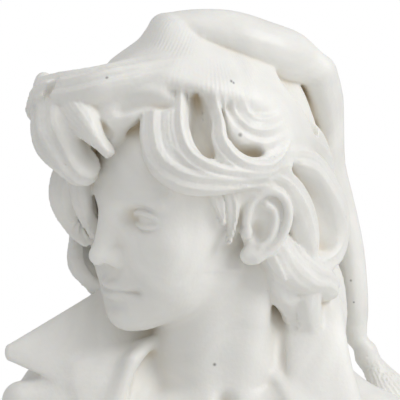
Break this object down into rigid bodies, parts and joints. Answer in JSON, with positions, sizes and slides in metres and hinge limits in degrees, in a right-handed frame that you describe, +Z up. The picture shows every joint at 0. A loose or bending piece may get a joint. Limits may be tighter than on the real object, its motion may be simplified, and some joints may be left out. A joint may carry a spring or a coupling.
{
  "type": "marble bust of a youth in a fisherman's cap",
  "caption": "Carved white marble bust of a curly-haired youth in a long tasselled stocking cap and open-collared shirt, head turned over one shoulder, cut flat below.",
  "frame": {"origin": "middle of the flat underside", "axes": "+Z up through the crown, the chest faces -Y, +X towards the youth's own left shoulder"},
  "size_m": [0.3829, 0.2381, 0.4767],
  "materials": {
    "marble": "white statuary marble, fine satin polish, a little cream in the hollows"
  },
  "bodies": {
    "root": {"marble_bust": "marble"}
  },
  "joints": []
}
